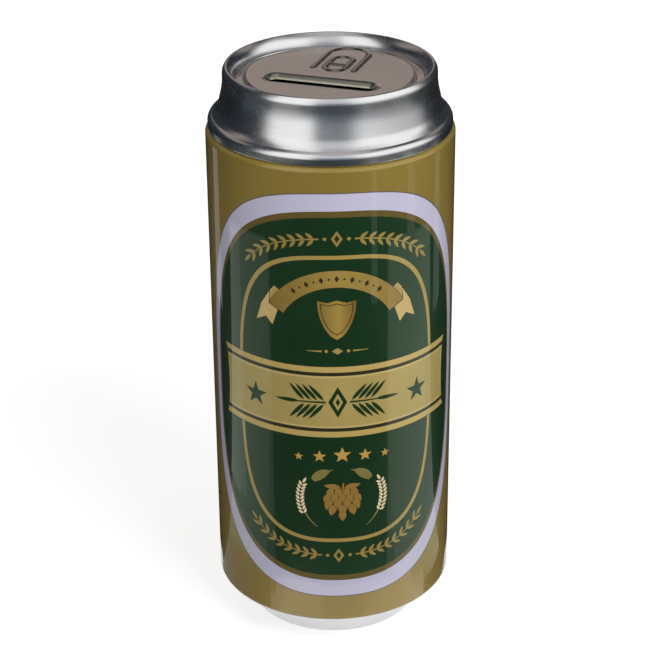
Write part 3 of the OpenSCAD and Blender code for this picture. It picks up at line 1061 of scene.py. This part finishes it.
# Flags on the floor that only mirrors see: name, turns, near end, far end, colour and layer
FLAG_Z = 0.0008
VEIL = 0.28
END = 0.48
FAR = 1.3
BLACK = (0.012, 0.013, 0.015)
FLAGS = [
    ("flag_front", (-60, 54), 0.031, END, (0.035, 0.042, 0.04), 1),
    ("flag_left", (-104, -60), VEIL, END, BLACK, 1),
    ("flag_right", (54, 102), VEIL, END, BLACK, 1),
    ("veil_left", (-104, -60), 0.022, VEIL, (0.46, 0.54, 0.45), 1),
    ("veil_edge", (-104, -95), 0.07, VEIL, (0.72, 0.8, 0.7), 2),
    ("veil_right", (54, 102), 0.022, VEIL, (0.7, 0.8, 0.68), 1),
    ("flag_back", (102, 256), 0.012, FAR, BLACK, 1),
    ("streak_39", (37.25, 40.75), 0.22, 0.37, (0.6, 0.6, 0.6), 2),
    ("streak_77", (74.5, 79.5), 0.27, 0.37, (0.5, 0.5, 0.5), 2),
    ("streak_113", (111, 115), 0.2, 0.37, (0.4, 0.4, 0.4), 2),
    ("streak_-130", (-133, -127), 0.2, 0.37, (0.5, 0.5, 0.5), 2),
    ("low_left", (-104, -66), 0.007, 0.03, (0.25, 0.2425, 0.2325), 2),
    ("low_mid", (-37, -13), 0.007, 0.031, (1.5, 1.455, 1.395), 2),
    ("low_right", (30, 62), 0.007, 0.026, (1.4, 1.358, 1.302), 2),
    ("far_middle", (-104, 102), END, FAR, (0.055, 0.072, 0.09), 1),
    ("far_left", (-62, -32), END, FAR, tuple(0.36 * k for k in BOX), 2),
    ("far_right", (32, 92), END, FAR, tuple(0.22 * k for k in BOX), 2),
]


def direction(alpha, rise=0.0):
    """The unit vector at a turn round the can from the camera and an elevation, in degrees."""
    a, e, t = (math.radians(v) for v in (alpha, rise, CAMERA_TURN))
    front = np.array((-math.sin(t), -math.cos(t), 0))
    right = np.array((math.cos(t), -math.sin(t), 0))
    level = math.cos(a) * front + math.sin(a) * right
    return math.cos(e) * level + np.array((0, 0, math.sin(e)))


def seen_or_mirrored(tree):
    """1 for camera, mirror and glass rays, and 0 for the light that reaches matte surfaces."""
    path = add_node(tree, "LightPath").outputs
    seen = path["Is Camera Ray"]
    for name in ("Is Glossy Ray", "Is Transmission Ray"):
        seen = add_node(tree, "Math", {"operation": "MAXIMUM"}, _0=seen, _1=path[name]).outputs[0]
    return seen


def glow(name, colour, soft=None):
    """Light of an even colour. soft gives the shares of the card's width and height over which
    its edges fade and let through what lies behind."""
    sh = Shader(name)
    sh.tree.nodes.remove(sh.bsdf)
    light = sh.add("Emission", Color=(*colour, 1), Strength=1.0).outputs[0]
    if soft:
        uv = sh.add("SeparateXYZ", Vector=sh.add("TexCoord").outputs["UV"])
        fades = []
        for axis, share in zip("XY", soft):
            off = sh.math("ABSOLUTE", sh.math("SUBTRACT", uv.outputs[axis], 0.5))
            fades.append(sh.add("MapRange", {"interpolation_type": "SMOOTHSTEP"}, Value=off,
                                _1=0.5, _2=0.5 - share, _3=0.0, _4=1.0).outputs[0])
        clear = sh.add("BsdfTransparent").outputs[0]
        cover = sh.math("MULTIPLY", *fades)
        light = sh.add("MixShader", _0=cover, _1=clear, _2=light).outputs[0]
    sh.tree.links.new(light, sh.tree.nodes["Material Output"].inputs["Surface"])
    return sh.mat


def stage_mesh(name, points, faces, material, uvs=None):
    """A mesh that belongs to the stage and not to the object."""
    mesh = bpy.data.meshes.new(name)
    mesh.from_pydata([tuple(p) for p in points], [], faces)
    mesh.materials.append(material)
    if uvs is not None:
        layer = mesh.uv_layers.new(name="card")
        for loop in mesh.loops:
            layer.data[loop.index].uv = uvs[loop.vertex_index]
    obj = bpy.data.objects.new(name, mesh)
    bpy.context.scene.collection.objects.link(obj)
    return obj


def hide(obj, lights):
    """Keeps a card out of the picture; lights says whether it lights matte surfaces too."""
    obj.visible_camera = False
    obj.visible_shadow = False
    obj.visible_diffuse = lights


def card(name, turns, rises, reach, colour, soft=None, lights=True, cells=(10, 6)):
    """A curved card round the can between two turns and two elevations."""
    points, uvs = [], []
    for v in np.linspace(0, 1, cells[1] + 1):
        for u in np.linspace(0, 1, cells[0] + 1):
            way = direction(turns[0] + (turns[1] - turns[0]) * u, rises[0] + (rises[1] - rises[0]) * v)
            points.append(np.array(LID_MIDDLE) + reach * way)
            uvs.append((u, v))
    n = cells[0] + 1
    corners = [j * n + i for j in range(cells[1]) for i in range(cells[0])]
    faces = [[k, k + 1, k + 1 + n, k + n] for k in corners]
    hide(stage_mesh(name, points, faces, glow(name, colour, soft), uvs), lights)


def floor_flag(name, turns, near, far, colour, layer):
    """A sector just above the floor that the wall mirrors towards the camera. A ray that comes
    from a turn leaves the wall at half that turn, and near and far are measured from there."""
    def at(turn, reach):
        start = ((turn + 180) % 360 - 180) / 2
        return direction(start) * BODY_R * MM + direction(turn) * reach

    steps = np.linspace(turns[0], turns[1], 24)[1:-1]
    rows = [[at(turns[0], reach), *(direction(t) * (reach + BODY_R * MM) for t in steps),
             at(turns[1], reach)] for reach in (near, far)]
    points = [(p[0], p[1], layer * FLAG_Z) for row in rows for p in row]
    n = len(rows[0])
    faces = [[i, i + 1, n + i + 1, n + i] for i in range(n - 1)]
    hide(stage_mesh(name, points, faces, glow(name, colour)), False)


def make_floor():
    """A pale floor that keeps the can's shadow, and throws only a little light back up."""
    corners = [(x * FLOOR_HALF, y * FLOOR_HALF, 0) for x, y in ((-1, -1), (1, -1), (1, 1), (-1, 1))]
    sh = Shader("floor_white", Roughness=0.9, Specular_IOR_Level=0.0)
    seen = seen_or_mirrored(sh.tree)
    colour = sh.add("Mix", {"data_type": "RGBA"}, _0=seen, _6=(0.38, 0.38, 0.38, 1),
                    _7=(0.36, 0.36, 0.36, 1))
    sh.link(colour.outputs[2], "Base Color")
    sh.bsdf.inputs["Emission Color"].default_value = (1, 1, 1, 1)
    away = sh.add("VectorMath", {"operation": "LENGTH"}, _0=sh.place()).outputs["Value"]
    shine = sh.span(away, 0.12, 0.75, 0.72, 1.0)
    sh.link(sh.math("MULTIPLY", seen, shine), "Emission Strength")
    stage_mesh("floor", corners, [[0, 1, 2, 3]], sh.mat)


def make_world():
    """A white studio for the camera and mirrors, and a dim even light for matte surfaces."""
    world = bpy.data.worlds.new("studio")
    bpy.context.scene.world = world
    world.use_nodes = True
    tree = world.node_tree
    strength = add_node(tree, "MapRange", Value=seen_or_mirrored(tree), _3=AMBIENT, _4=1.0)
    sky = tree.nodes["Background"]
    sky.inputs["Color"].default_value = (1, 1, 1, 1)
    tree.links.new(strength.outputs[0], sky.inputs["Strength"])


def make_lights():
    """Soft boxes, ceiling, warm back wall, dark cards, floor flags and the two lamps."""
    for name, turns, rises, reach, colour, soft in LIGHT_CARDS:
        card(name, turns, rises, reach, colour, soft)
    for name, turns, rises, reach, colour, cells in DARK_CARDS:
        card(name, turns, rises, reach, colour, lights=False, cells=cells)
    for row in FLAGS:
        floor_flag(*row)
    for name, turn, rise, power in LAMPS:
        data = bpy.data.lights.new(name, "AREA")
        data.shape = "RECTANGLE"
        data.size = data.size_y = LAMP_SIZE
        data.energy = power
        lamp = bpy.data.objects.new(name, data)
        lamp.location = Vector(direction(turn, rise) * LAMP_REACH + (0, 0, LAMP_Z))
        lamp.rotation_euler = Vector(direction(turn, rise)).to_track_quat("Z", "Y").to_euler()
        lamp.visible_glossy = False
        bpy.context.scene.collection.objects.link(lamp)


def make_camera():
    """The photograph's camera, on the can's axis at LOOK_Z and a little rolled."""
    data = bpy.data.cameras.new("camera")
    data.sensor_width = 36.0
    data.lens = CAMERA_LENS
    data.shift_x = CAMERA_SHIFT
    data.clip_start, data.clip_end = 0.01, 20
    cam = bpy.data.objects.new("camera", data)
    bpy.context.scene.collection.objects.link(cam)
    back = direction(0, CAMERA_RISE)
    side, roll = direction(90), math.radians(CAMERA_ROLL)
    up = np.cross(back, side)
    right = side * math.cos(roll) + up * math.sin(roll)
    above = up * math.cos(roll) - side * math.sin(roll)
    pose = np.eye(4)
    pose[:3] = np.c_[right, above, back, back * CAMERA_REACH + (0, 0, LOOK_Z)]
    cam.matrix_world = Matrix(pose.tolist())
    bpy.context.scene.camera = cam


def main():
    scene = bpy.context.scene
    scene.view_settings.view_transform = "Standard"
    make_camera()
    make_object()
    make_floor()
    make_world()
    make_lights()


main()
